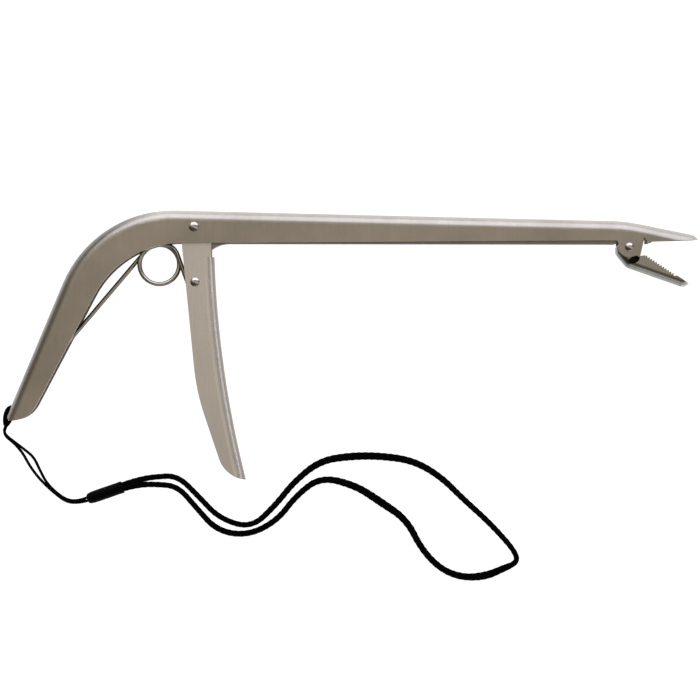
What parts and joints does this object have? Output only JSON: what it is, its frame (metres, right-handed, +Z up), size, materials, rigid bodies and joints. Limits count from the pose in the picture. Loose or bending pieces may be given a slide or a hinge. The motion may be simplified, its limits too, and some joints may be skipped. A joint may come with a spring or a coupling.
{
  "type": "hook remover",
  "caption": "Pistol-grip fish hook remover: pressed steel channel grip and barrel, sprung trigger, pull link, toothed nose jaw and braided wrist lanyard.",
  "frame": {"origin": "under the middle of the metal tool, on the surface that it lies on", "axes": "+X along the barrel towards the nose, +Y from the trigger's foot up to the barrel, +Z up from the surface"},
  "size_m": [0.2823, 0.1503, 0.0126],
  "materials": {
    "body_steel": "bead-blasted satin stainless steel",
    "trigger_steel": "satin stainless steel, a little brighter than the body",
    "jaw_steel": "satin stainless steel",
    "link_steel": "satin stainless steel strip",
    "spring_wire": "polished spring wire",
    "rivet_steel": "polished domed rivets and pins",
    "cord_black": "black braided cord",
    "sleeve_black": "black moulded sleeve, satin"
  },
  "bodies": {
    "frame": {"body_channel": "body_steel", "trigger_pivot_rivet": "rivet_steel", "jaw_pivot_rivet": "rivet_steel", "return_spring": "spring_wire", "hitch_strand_upper": "cord_black", "hitch_strand_lower": "cord_black", "cord_sleeve": "sleeve_black", "cord_crimp": "rivet_steel", "wrist_cord": "cord_black"},
    "trigger": {"trigger": "trigger_steel", "spring_anchor_rivet": "rivet_steel", "link_rear_pin": "rivet_steel"},
    "link": {"pull_link": "link_steel"},
    "jaw": {"lower_jaw": "jaw_steel", "link_front_pin": "rivet_steel"}
  },
  "joints": [
    {"name": "trigger_squeeze", "type": "hinge", "parent": "frame", "child": "trigger", "pos_m": [-0.0643, 0.04763, 0.0063], "axis": [0, 0, -1], "range_deg": [0, 21.43], "stiffness_Nm_per_rad": 0.25, "springref_deg": -34.38, "deforming": ["return_spring"]},
    {"name": "link_pull", "type": "slide", "parent": "frame", "child": "link", "axis": [-1, 0, 0], "range_m": [0, 0.00306]},
    {"name": "jaw_close", "type": "hinge", "parent": "frame", "child": "jaw", "pos_m": [0.11177, 0.03947, 0.0063], "axis": [0, 0, 1], "range_deg": [0, 35.6]}
  ],
  "couplings": [
    {"joint": "link_pull", "follows": "trigger_squeeze", "m_per_rad": 0.0081523},
    {"joint": "jaw_close", "follows": "trigger_squeeze", "ratio": 1.6569}
  ]
}
